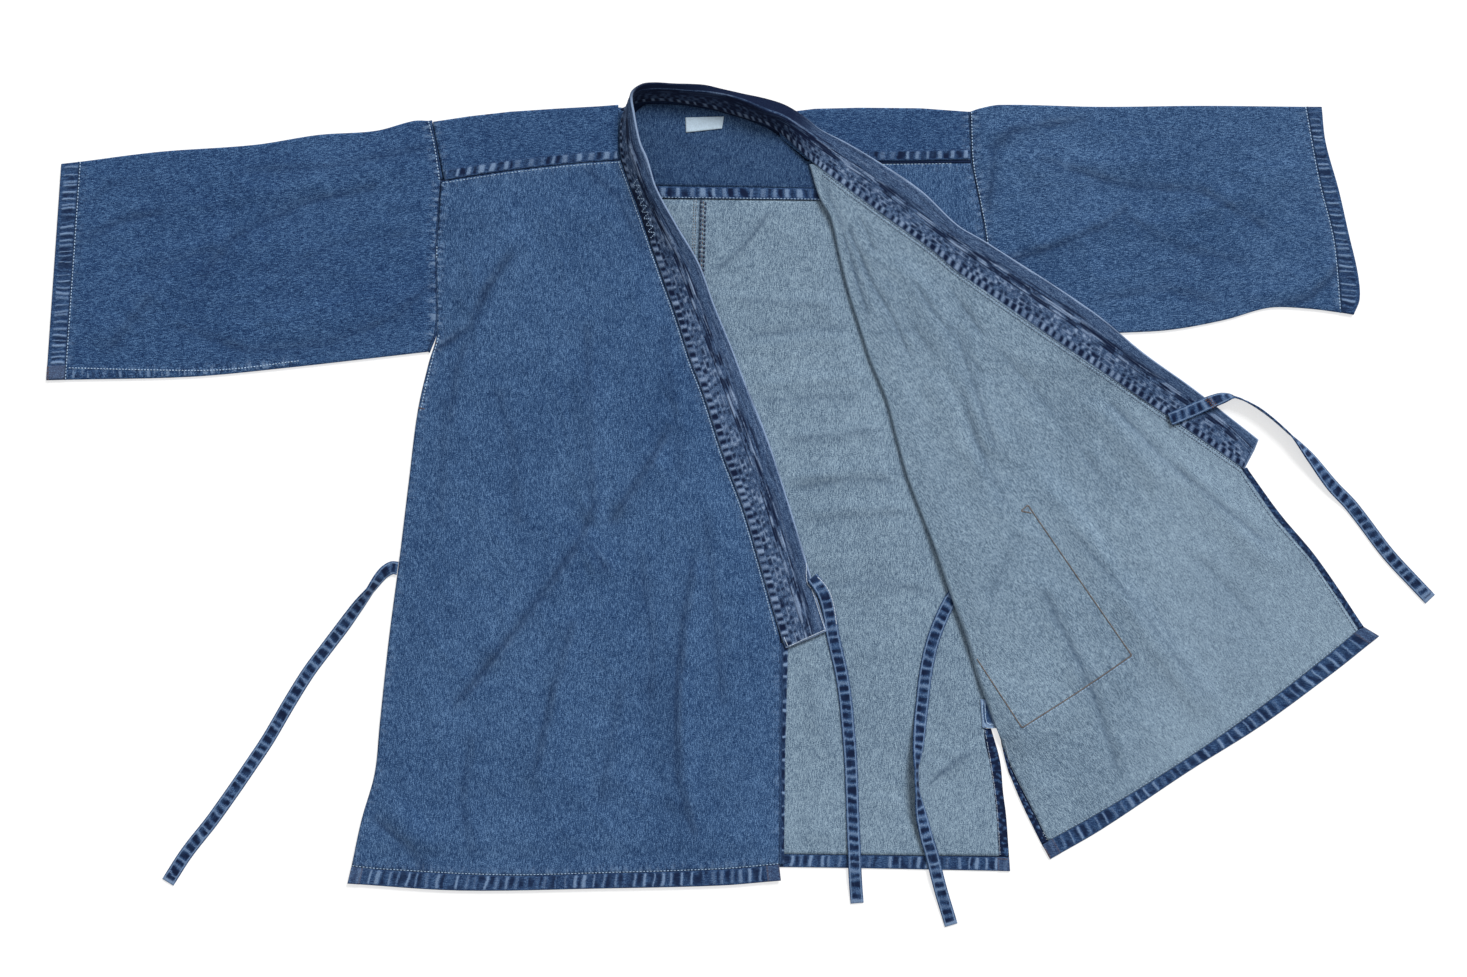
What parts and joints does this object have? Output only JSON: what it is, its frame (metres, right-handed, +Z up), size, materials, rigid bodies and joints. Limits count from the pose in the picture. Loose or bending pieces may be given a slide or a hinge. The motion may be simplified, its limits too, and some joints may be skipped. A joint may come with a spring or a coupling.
{
  "type": "kendo jacket",
  "caption": "Wrap jacket of washed indigo denim laid flat on its back, short wide sleeves with cuffs, stitched neckband, flat ties, one front turned back inside out.",
  "frame": {"origin": "centre of the jacket's outline on the plane it lies on", "axes": "+X across the jacket towards the wearer's left sleeve, +Y towards the neck, +Z up off the surface it lies on"},
  "size_m": [1.3876, 0.841, 0.0322],
  "materials": {
    "denim_outside": "washed indigo denim, outside",
    "denim_inside": "pale inside of the washed denim",
    "denim_band": "dark indigo denim with rows of stitching",
    "denim_hem": "navy turned hems and felled seams with pale worn ribs",
    "lining_cloth": "blue cotton twill behind the neck",
    "label_cloth": "bare woven label, greenish grey"
  },
  "bodies": {
    "root": {"back_left": "denim_inside", "back_right": "denim_inside", "cuff_left": "denim_hem", "cuff_right": "denim_hem", "edge_front_left": "denim_hem", "edge_front_right": "denim_hem", "front_left": "denim_inside", "front_right": "denim_outside", "hem_back": "denim_hem", "hem_front_left": "denim_hem", "hem_front_right": "denim_hem", "lining_hem": "denim_hem", "neck_label": "label_cloth", "neckband": "denim_band", "pocket": "denim_outside", "sleeve_left": "denim_outside", "sleeve_right": "denim_outside", "slit_edge_back": "denim_hem", "slit_edge_front": "denim_hem", "slit_patch": "denim_hem", "tie_band_left": "denim_outside", "tie_band_right": "denim_outside", "tie_inner_left": "denim_outside", "tie_outer_right": "denim_outside", "yoke": "denim_outside", "yoke_lining": "lining_cloth"}
  },
  "joints": []
}
